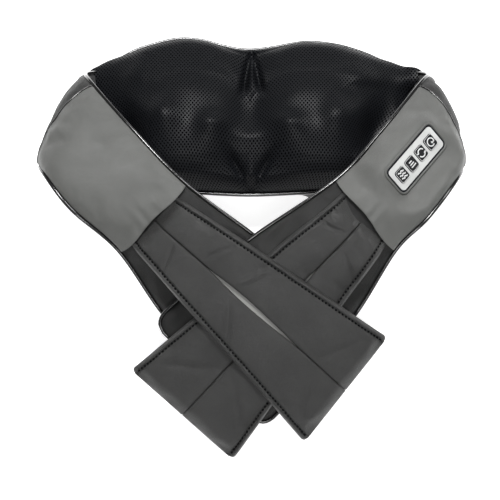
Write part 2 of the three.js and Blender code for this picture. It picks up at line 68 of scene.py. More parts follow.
ARM_RIMS = {
    "left": (
        [(-154, 184, 52), (-164, 179, 57), (-170, 164, 82), (-160, 140, 108), (-122, 90, 119),
         (-64, 28, 114), (5, -21, 96), (54, -59, 77), (100, -95, 58)],
        [(-154, 64, 46), (-186, 60, 49), (-209, 61, 84), (-199, 37, 118), (-171, 0, 120),
         (-127, -33, 95), (-85, -86, 62), (-35, -138, 36), (18, -186, 10)],
    ),
    "right": (
        [(154, 184, 52), (174, 179, 57), (184, 163, 82), (172, 139, 110), (127, 75, 128),
         (84, 25, 131), (5, -28, 117), (-43, -63, 98), (-92, -103, 78)],
        [(154, 64, 46), (188, 60, 49), (210, 58, 86), (200, 31, 122), (169, -12, 129),
         (139, -39, 115), (104, -89, 85), (60, -143, 57), (12, -194, 30)],
    ),
}
STRAP_HEMS = {
    "left": (
        [(-73, 11, 129), (-42, -13, 135), (-11, -35, 137), (29, -60, 127),
         (80, -91, 111), (132, -119, 85)],
        [(-119, -29, 110), (-93, -59, 111), (-67, -89, 109), (-33, -124, 94),
         (10, -168, 71), (53, -211, 38)],
    ),
    "right": (
        [(89, 7, 146), (65, -12, 137), (34, -35, 130), (-12, -71, 112),
         (-63, -109, 92), (-115, -146, 66)],
        [(131, -37, 130), (114, -60, 119), (92, -86, 103), (58, -130, 81),
         (21, -178, 56), (-17, -225, 25)],
    ),
}
# The pillow's seam seen from above: over its two lobes, down the right end and along the lower side.
RIM_TOP = [
    (-152, 185), (-145, 193), (-131, 202), (-116, 210), (-87, 219), (-70, 221), (-51, 219),
    (-31, 213), (-14, 209), (3, 208), (26, 211), (51, 216), (68, 217), (95, 213), (119, 205),
    (132, 199), (145, 192), (152, 185),
]
RIM_RIGHT = [
    (152, 155), (152, 123), (152, 92), (152, 64), (144, 58), (120, 54), (90, 51), (64, 49), (30, 47),
]
RIM_BOTTOM = (0, 46)
RIM = RIM_TOP + RIM_RIGHT + [RIM_BOTTOM] + [(-x, y) for x, y in reversed(RIM_RIGHT)]
# Stations of the seam where its two welts begin and end, at the pillow's corners.
UPPER_WELT = (0, len(RIM_TOP) - 1)
LOWER_WELT = (RIM.index((152, 64)), RIM.index((-152, 64)))


# ---- curves and surfaces --------------------------------------------------
def catmull(points, u, closed=False):
    """Points of a uniform Catmull-Rom curve at parameters u, one unit per span."""
    p = np.array(points, float)
    n = len(p)
    u = np.asarray(u, float)
    k = np.floor(u).astype(int)
    if closed:
        k = k % n
        f = u - np.floor(u)
        a, b, c, d = p[(k - 1) % n], p[k], p[(k + 1) % n], p[(k + 2) % n]
    else:
        p = np.vstack([2 * p[0] - p[1], p, 2 * p[-1] - p[-2]])
        k = np.clip(k, 0, n - 2)
        f = u - k
        a, b, c, d = p[k], p[k + 1], p[k + 2], p[k + 3]
    f = f[..., None]
    return 0.5 * (2 * b + (c - a) * f + (2 * a - 5 * b + 4 * c - d) * f**2
                  + (3 * b - a - 3 * c + d) * f**3)


def unit(v):
    return v / np.maximum(np.linalg.norm(v, axis=-1, keepdims=True), 1e-9)


class Band:
    """A ruled strip between an inner and an outer edge, with offsets along its normal."""

    def __init__(self, edges, sign):
        self.inner, self.outer = edges
        self.sign = sign
        self.last = len(self.inner) - 1

    def mid(self, s, t):
        a = catmull(self.inner, s)
        b = catmull(self.outer, s)
        return a + (b - a) * np.asarray(t)[..., None]

    def normal(self, s, t):
        e = 0.04
        s = np.clip(s, 0, self.last)
        ds = self.mid(np.minimum(self.last, s + e), t) - self.mid(np.maximum(0, s - e), t)
        dt = catmull(self.outer, s) - catmull(self.inner, s)
        return unit(np.cross(dt, ds)) * self.sign

    def at(self, s, t, n):
        s, t, n = np.broadcast_arrays(*(np.asarray(value, float) for value in (s, t, n)))
        return self.mid(s, t) + self.normal(s, t) * n[..., None]

    def width(self, s):
        return np.linalg.norm(catmull(self.outer, s) - catmull(self.inner, s), axis=-1)


def smooth(x):
    x = np.clip(x, 0, 1)
    return x * x * (3 - 2 * x)


def waves(points, size, amount, seed):
    """Soft random swell, one value per point, the same on every run."""
    flat = points.reshape(-1, 3)
    shift = Vector((seed * 7.1, seed * 3.3, seed * 5.7))
    values = [noise.noise(Vector(p) / size + shift) for p in flat]
    return amount * np.array(values).reshape(points.shape[:-1])


# ---- mesh makers ----------------------------------------------------------
def make_object(name, vertices, faces, uvs=None, material=None):
    mesh = bpy.data.meshes.new(name)
    mesh.from_pydata([tuple(v * MM) for v in vertices], [], faces)
    mesh.polygons.foreach_set("use_smooth", [True] * len(mesh.polygons))
    if uvs is not None:
        layer = mesh.uv_layers.new(name="UVMap")
        index = np.zeros(len(mesh.loops), int)
        mesh.loops.foreach_get("vertex_index", index)
        layer.data.foreach_set("uv", (np.asarray(uvs) * MM)[index].astype(np.float32).ravel())
    mesh.update()
    obj = bpy.data.objects.new(name, mesh)
    bpy.context.scene.collection.objects.link(obj)
    if material is not None:
        mesh.materials.append(material)
    return obj


def fix_outward(obj):
    """Turns all faces outwards by the sign of the closed mesh's volume."""
    mesh = obj.data
    volume = 0.0
    for poly in mesh.polygons:
        co = [mesh.vertices[i].co for i in poly.vertices]
        for k in range(1, len(co) - 1):
            volume += co[0].dot(co[k].cross(co[k + 1]))
    if volume < 0:
        mesh.flip_normals()
    return obj


def grid_faces(rows, cols, wrap=False):
    faces = []
    for i in range(rows - 1):
        for j in range(cols if wrap else cols - 1):
            k = (j + 1) % cols
            faces.append((i * cols + j, i * cols + k, (i + 1) * cols + k, (i + 1) * cols + j))
    return faces


def arc_uv(points):
    """UVs in millimetres along rows and columns of a grid of points."""
    along = np.linalg.norm(np.diff(points, axis=0), axis=-1)
    across = np.linalg.norm(np.diff(points, axis=1), axis=-1)
    u = np.zeros(points.shape[:2])
    v = np.zeros(points.shape[:2])
    u[1:] = np.cumsum(along.mean(1))[:, None]
    v[:, 1:] = np.cumsum(across, axis=1)
    v -= v.mean(axis=1, keepdims=True)
    return np.stack([u, v], -1).reshape(-1, 2)


def loft(name, rings, material, cap=True):
    """A closed tube of rings, each ring a loop of points."""
    rings = np.asarray(rings)
    rows, cols = rings.shape[:2]
    faces = grid_faces(rows, cols, wrap=True)
    vertices = rings.reshape(-1, 3)
    uvs = arc_uv(rings)
    if cap:
        ends = [rings[0].mean(0), rings[-1].mean(0)]
        vertices = np.vstack([vertices, ends])
        uvs = np.vstack([uvs, uvs[:1], uvs[-1:]])
        low, high = len(vertices) - 2, len(vertices) - 1
        last = (rows - 1) * cols
        for j in range(cols):
            k = (j + 1) % cols
            faces.append((low, k, j))
            faces.append((high, last + j, last + k))
    return fix_outward(make_object(name, vertices, faces, uvs, material))


def tube(name, points, radius, material, sides=10):
    """A round tube along points, with turning-free frames and round ends."""
    p = np.asarray(points, float)
    tangent = unit(np.gradient(p, axis=0))
    side = unit(np.cross(tangent[0], [0.13, 0.2, 0.97]))
    rings = []
    for i in range(len(p)):
        side = unit(side - tangent[i] * np.dot(side, tangent[i]))
        up = np.cross(tangent[i], side)
        a = np.linspace(0, 2 * math.pi, sides, endpoint=False)[:, None]
        rings.append(p[i] + radius * (np.cos(a) * side + np.sin(a) * up))
    return loft(name, rings, material)


def resample(points, step):
    p = np.asarray(points, float)
    d = np.concatenate([[0], np.cumsum(np.linalg.norm(np.diff(p, axis=0), axis=1))])
    n = max(2, int(round(d[-1] / step)))
    at = np.linspace(0, d[-1], n + 1)
    return np.stack([np.interp(at, d, p[:, k]) for k in range(3)], -1)


# ---- cloth ----------------------------------------------------------------
CLOTH_FRAMES = 18


class Swell:
    """How far a sewn-down sheet stands off its pattern, from a short cloth simulation.

    The sheet is a grid of points with its edges held. It is cut a little larger than its pattern
    and blown up from behind, so that it crowns between its seams and gathers beside them.
    """

    def __init__(self, points, outward, held, pressure, slack, cap):
        self.shape = points.shape[:2]
        self.field = np.zeros(self.shape)
        rows, cols = self.shape
        sheet = make_object("swell_sheet", points.reshape(-1, 3), grid_faces(rows, cols))
        middle = sheet.data.polygons[(rows // 2) * (cols - 1) + cols // 2]
        if middle.normal.dot(Vector(outward[rows // 2, cols // 2])) < 0:
            sheet.data.flip_normals()
        pins = sheet.vertex_groups.new(name="sewn")
        pins.add([int(i) for i in np.flatnonzero(held.ravel())], 1.0, "REPLACE")
        cloth = sheet.modifiers.new("cloth", "CLOTH")
        cloth.settings.quality = 6
        cloth.settings.mass = 0.15
        cloth.settings.tension_stiffness = 12
        cloth.settings.compression_stiffness = 12
        cloth.settings.shear_stiffness = 4
        cloth.settings.bending_stiffness = 0.4
        cloth.settings.vertex_group_mass = "sewn"
        cloth.settings.use_pressure = True
        cloth.settings.uniform_pressure_force = pressure
        cloth.settings.shrink_min = -slack
        cloth.settings.effector_weights.gravity = 0
        cloth.collision_settings.use_collision = False
        cloth.collision_settings.use_self_collision = False
        scene = bpy.context.scene
        for step in range(1, CLOTH_FRAMES + 1):
            scene.frame_set(step)
        graph = bpy.context.evaluated_depsgraph_get()
        blown = sheet.evaluated_get(graph)
        flat = np.zeros(len(sheet.data.vertices) * 3)
        blown.data.vertices.foreach_get("co", flat)
        moved = flat.reshape(rows, cols, 3) / MM - points
        lift = np.sum(moved * outward, axis=-1)
        self.field = cap * np.tanh(lift / cap)
        scene.frame_set(1)
        bpy.data.objects.remove(sheet)

    def at(self, i, j):
        """Smoothed height at fractional row i and column j."""
        i, j = np.broadcast_arrays(np.asarray(i, float), np.asarray(j, float))
        rows, cols = self.shape
        i0, j0 = np.floor(i).astype(int), np.floor(j).astype(int)
        total = 0
        for a, wa in enumerate(spline_weights(i - i0)):
            for b, wb in enumerate(spline_weights(j - j0)):
                row = np.clip(i0 + a - 1, 0, rows - 1)
                col = np.clip(j0 + b - 1, 0, cols - 1)
                total = total + wa * wb * self.field[row, col]
        return total


def spline_weights(f):
    return ((1 - f) ** 3 / 6, (3 * f**3 - 6 * f**2 + 4) / 6,
            (-3 * f**3 + 3 * f**2 + 3 * f + 1) / 6, f**3 / 6)


def border(rows, cols):
    """Marks the grid points on all four sides."""
    held = np.ones((rows, cols), bool)
    held[1:-1, 1:-1] = False
    return held


# ---- materials ------------------------------------------------------------
class Shader:
    """A small helper that builds one principled material with node links."""

    def __init__(self, name, colour, roughness, **extra):
        self.mat = bpy.data.materials.new(name)
        self.mat.use_nodes = True
        self.tree = self.mat.node_tree
        self.bsdf = self.tree.nodes["Principled BSDF"]
        self.set("Base Color", (*colour, 1))
        self.set("Roughness", roughness)
        for key, value in extra.items():
            self.set(key.replace("_", " "), value)
        self.last_bump = None

    def set(self, socket, value):
        self.bsdf.inputs[socket].default_value = value

    def node(self, kind, **inputs):
        n = self.tree.nodes.new(kind)
        for key, value in inputs.items():
            slot = n.inputs[key.replace("_", " ")] if isinstance(key, str) else n.inputs[key]
            if isinstance(value, bpy.types.NodeSocket):
                self.tree.links.new(value, slot)
            else:
                slot.default_value = value
        return n

    def math(self, operation, a, b=0.0, clamp=False):
        n = self.tree.nodes.new("ShaderNodeMath")
        n.operation = operation
        n.use_clamp = clamp
        for i, value in enumerate((a, b)):
            if isinstance(value, bpy.types.NodeSocket):
                self.tree.links.new(value, n.inputs[i])
            else:
                n.inputs[i].default_value = value
        return n.outputs[0]

    def coords(self, kind="Object"):
        return self.node("ShaderNodeTexCoord").outputs[kind]

    def noise(self, scale, detail=4.0, rough=0.55, vector=None):
        n = self.node("ShaderNodeTexNoise", Scale=scale, Detail=detail, Roughness=rough)
        self.tree.links.new(vector or self.coords(), n.inputs["Vector"])
        return n.outputs["Fac"]

    def cells(self, scale, feature="F1", randomness=1.0, vector=None):
        n = self.tree.nodes.new("ShaderNodeTexVoronoi")
        n.feature = feature
        n.inputs["Scale"].default_value = scale
        n.inputs["Randomness"].default_value = randomness
        self.tree.links.new(vector or self.coords(), n.inputs["Vector"])
        return n.outputs["Distance"]

    def ramp(self, value, low, high, colour_low, colour_high):
        n = self.tree.nodes.new("ShaderNodeMix")
        n.data_type = "RGBA"
        fac = self.node("ShaderNodeMapRange", Value=value)
        fac.inputs["From Min"].default_value = low
        fac.inputs["From Max"].default_value = high
        self.tree.links.new(fac.outputs[0], n.inputs["Factor"])
        n.inputs["A"].default_value = (*colour_low, 1)
        n.inputs["B"].default_value = (*colour_high, 1)
        return n.outputs["Result"]

    def span(self, value, low, high, to_low, to_high):
        n = self.node("ShaderNodeMapRange", Value=value)
        for key, v in (("From Min", low), ("From Max", high), ("To Min", to_low), ("To Max", to_high)):
            n.inputs[key].default_value = v
        return n.outputs[0]

    def bump(self, height, distance, strength=1.0):
        n = self.node("ShaderNodeBump", Height=height, Distance=distance, Strength=strength)
        if self.last_bump is not None:
            self.tree.links.new(self.last_bump, n.inputs["Normal"])
        self.last_bump = n.outputs["Normal"]
        self.link(self.last_bump, "Normal")
        return self

    def link(self, output, socket):
        self.tree.links.new(output, self.bsdf.inputs[socket])
        return self


def leather(name, dark, light, roughness, grain=1300.0, depth=0.0002, specular=0.5):
    """Artificial leather: fine cellular grain, faint mottling, uneven gloss."""
    m = Shader(name, light, roughness, Specular_IOR_Level=specular)
    broad = m.noise(26.0, 5.0)
    m.link(m.ramp(broad, 0.3, 0.7, dark, light), "Base Color")
    m.link(m.span(m.noise(60.0, 3.0), 0.3, 0.7, roughness - 0.06, roughness + 0.07), "Roughness")
    m.bump(m.noise(150.0, 3.0), 0.0006, 0.5)
    cell = m.cells(grain, "DISTANCE_TO_EDGE")
    m.bump(m.span(cell, 0.0, 0.22, 0.0, 1.0), depth, 0.75)
    return m.mat


def mesh_fabric(name):
    """Spacer mesh: staggered open cells on a soft knitted face, each cell painted near black as painted
    shade in its depth.
    """
    m = Shader(name, (0.03, 0.032, 0.036), 0.6)
    turn = m.tree.nodes.new("ShaderNodeMapping")
    turn.inputs["Rotation"].default_value = (0, 0, math.radians(45))
    turn.inputs["Scale"].default_value = (0.98, 0.72, 1)
    m.tree.links.new(m.coords("UV"), turn.inputs["Vector"])
    cell = m.cells(385.0, "F1", 0.0, turn.outputs["Vector"])
    face = m.span(cell, 0.22, 0.34, 0.0, 1.0)
    # Painted shade: each open cell is coloured near black, and made matte, for the shadow in its depth.
    m.link(m.ramp(face, 0.0, 1.0, (0.0003, 0.0003, 0.0004), (0.0068, 0.0075, 0.0092)), "Base Color")
    m.link(m.span(face, 0.0, 1.0, 0.95, 0.44), "Roughness")
    m.link(m.span(face, 0.0, 1.0, 0.0, 0.16), "Specular IOR Level")
    m.bump(face, 0.0007, 0.8)
    m.bump(m.noise(2600.0, 2.0), 0.0001, 0.4)
    return m.mat


def woven(name, dark, light, pitch):
    """Plain woven cloth from two crossed wave sets."""
    m = Shader(name, light, 0.85, Sheen_Weight=0.2)
    uv = m.coords("UV")
    heights = []
    for turn in (0.0, 90.0):
        mapping = m.tree.nodes.new("ShaderNodeMapping")
        mapping.inputs["Rotation"].default_value = (0, 0, math.radians(turn))
        m.tree.links.new(uv, mapping.inputs["Vector"])
        wave = m.tree.nodes.new("ShaderNodeTexWave")
        wave.inputs["Scale"].default_value = 0.314 / pitch
        wave.inputs["Distortion"].default_value = 0.4
        m.tree.links.new(mapping.outputs["Vector"], wave.inputs["Vector"])
        heights.append(wave.outputs["Fac"])
    weave = m.math("MULTIPLY", heights[0], heights[1])
    # Painted shade: the colour darkens where the weave lies low, between the threads.
    m.link(m.ramp(weave, 0.0, 0.8, dark, light), "Base Color")
    m.bump(weave, 0.00015, 0.6)
    return m.mat


def moulded(name, colour, roughness, metallic=0.0, grain=900.0, depth=0.00004, **extra):
    """Moulded or machined surface with fine texture and slight gloss variation."""
    m = Shader(name, colour, roughness, Metallic=metallic, **extra)
    shade = tuple(c * 0.85 for c in colour)
    m.link(m.ramp(m.noise(40.0, 4.0), 0.35, 0.65, shade, colour), "Base Color")
    m.link(m.span(m.noise(70.0, 4.0), 0.3, 0.7, roughness * 0.88, roughness * 1.12), "Roughness")
    m.bump(m.noise(grain, 2.0), depth, 0.5)
    return m.mat


MATERIAL = {
    "massage_mesh": mesh_fabric("massage_mesh"),
    "cover_leather": leather("cover_leather", (0.016, 0.016, 0.016), (0.023, 0.023, 0.022), 0.5,
                             specular=0.3),
    "strap_leather": leather("strap_leather", (0.02, 0.02, 0.0195), (0.031, 0.031, 0.03), 0.42),
    "strap_backing": woven("strap_backing", (0.25, 0.25, 0.24), (0.55, 0.55, 0.53), 0.0011),
    "arm_lining": woven("arm_lining", (0.003, 0.003, 0.0035), (0.011, 0.0115, 0.013), 0.0014),
    "grey_panel": leather("grey_panel", (0.092, 0.094, 0.089), (0.112, 0.114, 0.108), 0.46,
                          1700.0, 0.0001),
    "piping": moulded("piping", (0.008, 0.008, 0.008), 0.2, grain=400.0, Coat_Weight=0.6),
    "foam": moulded("foam", (0.15, 0.16, 0.16), 0.95, grain=1500.0, depth=0.0004),
    "housing_plastic": moulded("housing_plastic", (0.03, 0.03, 0.035), 0.55),
    "massage_node": moulded("massage_node", (0.03, 0.03, 0.035), 0.3),
    "wheel_nylon": moulded("wheel_nylon", (0.78, 0.75, 0.68), 0.45),
    "steel": moulded("steel", (0.55, 0.56, 0.57), 0.3, 1.0),
    "bush_brass": moulded("bush_brass", (0.7, 0.5, 0.2), 0.35, 1.0),
    "circuit_board": moulded("circuit_board", (0.02, 0.12, 0.05), 0.4),
    "control_border": moulded("control_border", (0.004, 0.0045, 0.008), 0.5,
                              Specular_IOR_Level=0.25),
    "control_silver": moulded("control_silver", (0.62, 0.63, 0.62), 0.42, grain=1400.0),
    "button_grey": moulded("button_grey", (0.012, 0.0125, 0.014), 0.6,
                           Specular_IOR_Level=0.25),
    "icon_white": moulded("icon_white", (0.78, 0.79, 0.79), 0.5),
    "thread": moulded("thread", (0.0015, 0.0015, 0.002), 0.7, grain=3000.0,
                      Specular_IOR_Level=0.1),
}

slot_of = {s["node"]: s["material_slot"] for s in frame["record"]["subparts"]}
for node_name, node_object in frame["nodes"].items():
    node_object.data.materials.clear()
    node_object.data.materials.append(MATERIAL[slot_of[node_name]])


def finish_piece(obj, body=None, nodes=(), bend=None):
    """Hides the CAD nodes a piece stands for, then hangs it on its body's empty, or, for a piece given
    a bend, bakes its transform in.
    """
    if nodes:
        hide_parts(*nodes)
    if bend:
        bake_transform(obj)
    else:
        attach(obj, body)
    return obj


# ---- pillow body ----------------------------------------------------------
ANGLES = 288
EARS = {"left": (-156, 178), "right": (167, 176)}
HEAD_DOME = 46.0
SEAM_HEIGHT = 50.2
FACE_WALL = 1.3
BACK_WALL = 1.2
ARM_WALL = 0.9
PANEL_WALL = 1.0
PANEL_ROUNDING = 0.4


def rim_height(xy):
    """Height of the pillow's seam: level, and rising into the ears beside the shoulder bends."""
    x, y = xy[..., 0], xy[..., 1]
    return 46 + (y - 46) / 175 * 8 + 10 * smooth((np.abs(x) - 160) / 18) * smooth((y - 150) / 25)


def rim_loop():
    """The pillow's seam seen from above, its upper corners drawn out into ears under the arms."""
    seam = np.array(RIM, float)
    seam[UPPER_WELT[0]] = EARS["left"]
    seam[UPPER_WELT[1]] = EARS["right"]
    loop = catmull(seam, np.linspace(0, len(seam), ANGLES, endpoint=False), closed=True)
    stretch = 1 + 0.095 * smooth((np.abs(loop[:, 0]) - 118) / 34)
    loop[:, 0] *= stretch
    return loop


def hill(x, y, centre, length, width, lean=0.0):
    """A soft oval hill of height 1; lean turns its long axis, in degrees, from +Y."""
    a = math.radians(lean)
    dx, dy = x - centre[0], y - centre[1]
    along = dx * math.sin(a) + dy * math.cos(a)
    across = dx * math.cos(a) - dy * math.sin(a)
    return np.exp(-((along / length) ** 2) - (across / width) ** 2)


def crease(x, y, points, width):
    """1 on a line through points, fading out over the width."""
    path = catmull(points, np.linspace(0, len(points) - 1, 60))
    d = np.sqrt(((x[..., None] - path[:, 0]) ** 2 + (y[..., None] - path[:, 1]) ** 2).min(-1))
    return np.exp(-((d / width) ** 2))


# The gathered fold at the top of the face, and the tuck at its lower side.
ARCH = [(-16, 122), (-8, 146), (-4, 172), (2, 200), (8, 172), (13, 146), (21, 122)]
TUCK = [(-24, 84), (-14, 67), (1, 49), (15, 67), (26, 84)]
CREASE_WIDTH = 3.6


def face_height(x, y, inset):
    """Height of the massage face: a pillow drawn over the massage nodes."""
    low = np.interp(inset, [0, 1.5, 5, 12, 21, 32, 46, 62, 90],
                    [SEAM_HEIGHT, 57, 65, 75.5, 85, 91, 92.5, 92.8, 92.8])
    high = np.interp(inset, [0, 2, 6, 14, 28, 45, 60, 75, 90],
                     [SEAM_HEIGHT, 57, 64, 71, 78, 84, 89, 92.8, 92.8])
    upper = smooth((y - 105) / 60)
    z = low + (high - low) * upper
    z -= (0.4 + 0.12 * smooth((110 - y) / 40)) * np.maximum(0, z - 74)
    end = smooth((np.abs(x) - 108) / 50)
    seam_lift = (rim_height(np.stack([x, y], -1)) - 50) * np.exp(-inset / 8)
    z = SEAM_HEIGHT + (z - SEAM_HEIGHT) * (1 - 0.5 * end) + seam_lift
    for side in (-1, 1):
        z -= 21 * hill(x, y, (side * 126, 106), 27, 14, side * 24) * smooth(inset / 10)
        from_head = np.hypot(x - side * HEAD[0], y - HEAD[1])
        z += 9.4 * np.exp(-((from_head / HEAD_DOME) ** 4))
        z += 6.5 * hill(x, y, (side * 88, 113), 18, 15, side * 14)
        z += 6.5 * hill(x, y, (side * 39, 103), 13, 15)
    z += 2.0 * hill(x, y, (0, 92), 9, 26)
    z -= 6 * hill(x, y, (0, 126), 24, 18)
    z -= 9 * hill(x, y, (2, 168), 34, 26) * smooth(inset / 12)
    z -= 8 * hill(x, y, (0, 66), 15, 34) * smooth(inset / 14)
    arch = crease(x, y, ARCH, CREASE_WIDTH)
    tuck = crease(x, y, TUCK, CREASE_WIDTH)
    z += 4.0 * hill(x, y, (2, 168), 20, 5)
    z += 3.0 * hill(x, y, (1, 64), 13, 6)
    return z - 8.0 * arch * smooth((y - 136) / 26) - 7.5 * tuck * smooth((90 - y) / 20)


def massage_face():
    loop = rim_loop()
    out = loop - BODY_CENTRE
    reach = np.linalg.norm(out, axis=1)
    shares = 1 - np.concatenate([[0, 0.004, 0.01, 0.018, 0.03, 0.045], np.linspace(0.065, 0.985, 62)])
    points = []
    for k in shares:
        xy = BODY_CENTRE + out * k
        inset = reach * (1 - k)
        z = face_height(xy[:, 0], xy[:, 1], inset)
        points.append(np.column_stack([xy, z]))
    points = np.array(points)
    swell = waves(points, 30.0, 0.8, 1)
    points[:, :, 2] += swell * smooth((1 - shares) * 8)[:, None]
    steps = np.linalg.norm(np.diff(points[::-1], axis=0), axis=-1)
    length = np.concatenate([np.full((1, ANGLES), reach * 0.015), steps]).cumsum(0)[::-1]
    direction = out / reach[:, None]
    uvs = (direction[None] * length[..., None]).reshape(-1, 2)
    vertices = points.reshape(-1, 3)
    faces = grid_faces(len(shares), ANGLES, wrap=True)
    centre = points[-1].mean(0)
    vertices = np.vstack([vertices, centre])
    uvs = np.vstack([uvs, [0, 0]])
    first = (len(shares) - 1) * ANGLES
    for j in range(ANGLES):
        faces.append((first + j, first + (j + 1) % ANGLES, len(vertices) - 1))
    obj = make_object("massage_face", vertices, faces, uvs, MATERIAL["massage_mesh"])
    look(obj, up=True)
    add_wall(obj, FACE_WALL)
    return finish_piece(obj, "body", ["mesh_cover", "foam_surround"])


def look(obj, up):
    """Turns an open surface over if, on the whole, it doesn't face up, or down, as asked."""
    rise = sum(p.normal.z * p.area for p in obj.data.polygons)
    if (rise > 0) != up:
        obj.data.flip_normals()


def add_wall(obj, thickness, rounding=0.0):
    """Gives an open surface a wall behind it, its edge rounded if asked, and applies it."""
    solid = obj.modifiers.new("wall", "SOLIDIFY")
    solid.thickness = thickness * MM
    solid.offset = -1
    if rounding:
        edge = obj.modifiers.new("edge", "BEVEL")
        edge.width = rounding * MM
        edge.segments = 2
        edge.limit_method = "ANGLE"
    apply_modifiers(obj)


def apply_modifiers(obj):
    bpy.context.view_layer.update()
    graph = bpy.context.evaluated_depsgraph_get()
    mesh = bpy.data.meshes.new_from_object(obj.evaluated_get(graph), depsgraph=graph)
    old = obj.data
    obj.modifiers.clear()
    obj.data = mesh
    bpy.data.meshes.remove(old)


def back_shell():
    loop = rim_loop()
    out = loop - BODY_CENTRE
    reach = np.linalg.norm(out, axis=1)
    depth = [0, 0.5, 0.3, 0.4, 1.2, 2.8, 5, 8.5, 13, 20, 34, 60]
    height = [50, 44, 36, 27, 18, 11, 6, 2.6, 0.9, 0, 0, 0]
    rows = []
    middle = (loop[:, 1] < 90) * smooth((88 - np.abs(loop[:, 0])) / 22)
    for d, z in zip(depth, height):
        tucked = np.maximum(d, middle * (0.38 * (46 - z) + 1))
        xy = BODY_CENTRE + out * (1 - tucked / reach)[:, None]
        lift = (rim_height(xy) - 50) * min(1, z / 50)
        rows.append(np.column_stack([xy, z + lift]))
    points = np.array(rows)
    vertices = np.vstack([points.reshape(-1, 3), points[-1].mean(0)])
    uvs = np.vstack([arc_uv(points), [0, 0]])
    faces = grid_faces(len(rows), ANGLES, wrap=True)
    first = (len(rows) - 1) * ANGLES
    for j in range(ANGLES):
        faces.append((first + (j + 1) % ANGLES, first + j, len(vertices) - 1))
    obj = make_object("back_shell", vertices, faces, uvs, MATERIAL["cover_leather"])
    look(obj, up=False)
    add_wall(obj, BACK_WALL)
    return finish_piece(obj, "body", ["back_cover"])


massage_face()
back_shell()

# ---- arms -----------------------------------------------------------------
ARM = {tag: Band(ARM_RIMS[tag], -side) for tag, side in SIDES.items()}
STRAP = {tag: Band(STRAP_HEMS[tag], -side) for tag, side in SIDES.items()}
BEND = {
    tag: ("body", f"arm_{tag}",
          (side * 0.168, 0.118, 0.045), (side * 0.176, 0.085, 0.122))
    for tag, side in SIDES.items()
}
# Stations over which the arm's thickness closes at its tip.
TIP_CLOSE = 0.42
# The grey panel's upper seam runs slantwise, from this station at the inner rim by this much.
PANEL_TOP = 3.12
PANEL_SLANT = 0.75
PANEL_END = 5.03
PANEL_HEM = 0.8
# How deep the skins lie under the control module, and just outside it, off its base.
COVER_BED = (-12.0, -1.6)
PANEL_BED = (-2.6, 0.1)

MODULE_SIZE = (74.0, 30.0)
MODULE_CORNER = 6.0
MODULE_NORMAL = (0.43, -0.22, 0.875)
MODULE_LONG = (47.0, 57.0, -6.0)
CTRL_S, CTRL_T = 3.76, 0.51
BUTTON_TOP = 1.8
BUTTON_X = {"power": 23.4, "direction": 7.8, "speed": -7.8, "heat": -23.4}


def module_frame():
    band = ARM["right"]
    s, t = np.array([CTRL_S]), np.array([CTRL_T])
    origin = band.at(s, t, np.array([ARM_HALF + 2.2]))[0]
    normal = unit(np.array(MODULE_NORMAL))
    long = unit(np.array(MODULE_LONG))
    long = unit(long - normal * np.dot(long, normal))
    return origin, long, np.cross(normal, long), normal


def arm_half(s, sign=1):
    """How far a skin lies off the arm's middle at mid width: bowed outwards at the root, closed at
    the tip."""
    root = np.clip(1 - s / 2, 0, 1) ** 1.5
    thick = ARM_HALF + (11 if sign > 0 else -18) * root
    close = np.sqrt(np.clip((TIP - s) / TIP_CLOSE, 0, 1))
    return thick * np.where(s > TIP - TIP_CLOSE, close, 1.0)


def arm_edge(tag, s):
    """How far the rounded tip corners draw in from the rims, as a share of the width."""
    run = 0.24
    x = np.clip((s - (TIP - run)) / run, 0, 1)
    return TIP_RADIUS / ARM[tag].width(s) * (1 - np.sqrt(np.maximum(0, 1 - x * x)))


def crown(t):
    """Share of the full height across a padded strip: 0 at its rims, 1 at mid width."""
    return np.maximum(0, 1 - np.abs(2 * t - 1) ** 2.6) ** 0.62


ARM_GRID = (84, 26)


def arm_swell(tag, sign):
    """The padding of one side of an arm between its welts."""
    rows, cols = ARM_GRID
    s, t = np.meshgrid(np.linspace(0, TIP, rows), np.linspace(0, 1, cols), indexing="ij")
    points = ARM[tag].at(s, t, sign * arm_half(s, sign) * crown(t))
    outward = ARM[tag].normal(s, t) * sign
    held = border(rows, cols)
    if sign > 0:
        held |= np.abs(s - (3.1 - PANEL_SLANT * t)) < 0.05
    return Swell(points, outward, held, 2.5, 0.035, 3.2)


def arm_wrinkle(tag, sign, s, t):
    rows, cols = ARM_GRID
    base = ARM[tag].at(s, t, 0 * s)
    soft = waves(base, 34.0, 1.0, 3 + sign)
    return ARM_SWELL[tag, sign].at(s / TIP * (rows - 1), t * (cols - 1)) + soft * crown(t)


def arm_skin(tag, name, sign, slot, nodes):
    closing = TIP - TIP_CLOSE * (1 - np.linspace(0.06, 1, 16)) ** 1.6
    rows = np.concatenate([np.linspace(0, TIP - TIP_CLOSE, 118), closing])
    cols = (1 - np.cos(np.linspace(0, math.pi, 45))) / 2
    s, t = np.meshgrid(rows, cols, indexing="ij")
    draw = arm_edge(tag, s)
    across = draw + (1 - 2 * draw) * t
    offset = sign * arm_half(s, sign) * crown(t)
    points = ARM[tag].at(s, across, offset + sign * arm_wrinkle(tag, sign, s, t))
    faces = grid_faces(len(rows), len(cols))
    if tag == "right" and sign > 0:
        points = bed_module(points, *COVER_BED)
        faces = open_module(points, faces)
    obj = make_object(name, points.reshape(-1, 3), faces, arc_uv(points), MATERIAL[slot])
    face_out(obj, points, ARM[tag].at(s, across, 0 * s))
    add_wall(obj, ARM_WALL)
    return finish_piece(obj, nodes=nodes, bend=BEND[tag])


def face_out(obj, points, core):
    """Flips the surface if its normals point at the arm's core."""
    rows, cols = points.shape[:2]
    i, j = rows // 2, cols // 2
    poly = obj.data.polygons[i * (cols - 1) + j]
    away = Vector(points[i, j] - core[i, j])
    if poly.normal.dot(away) < 0:
        obj.data.flip_normals()


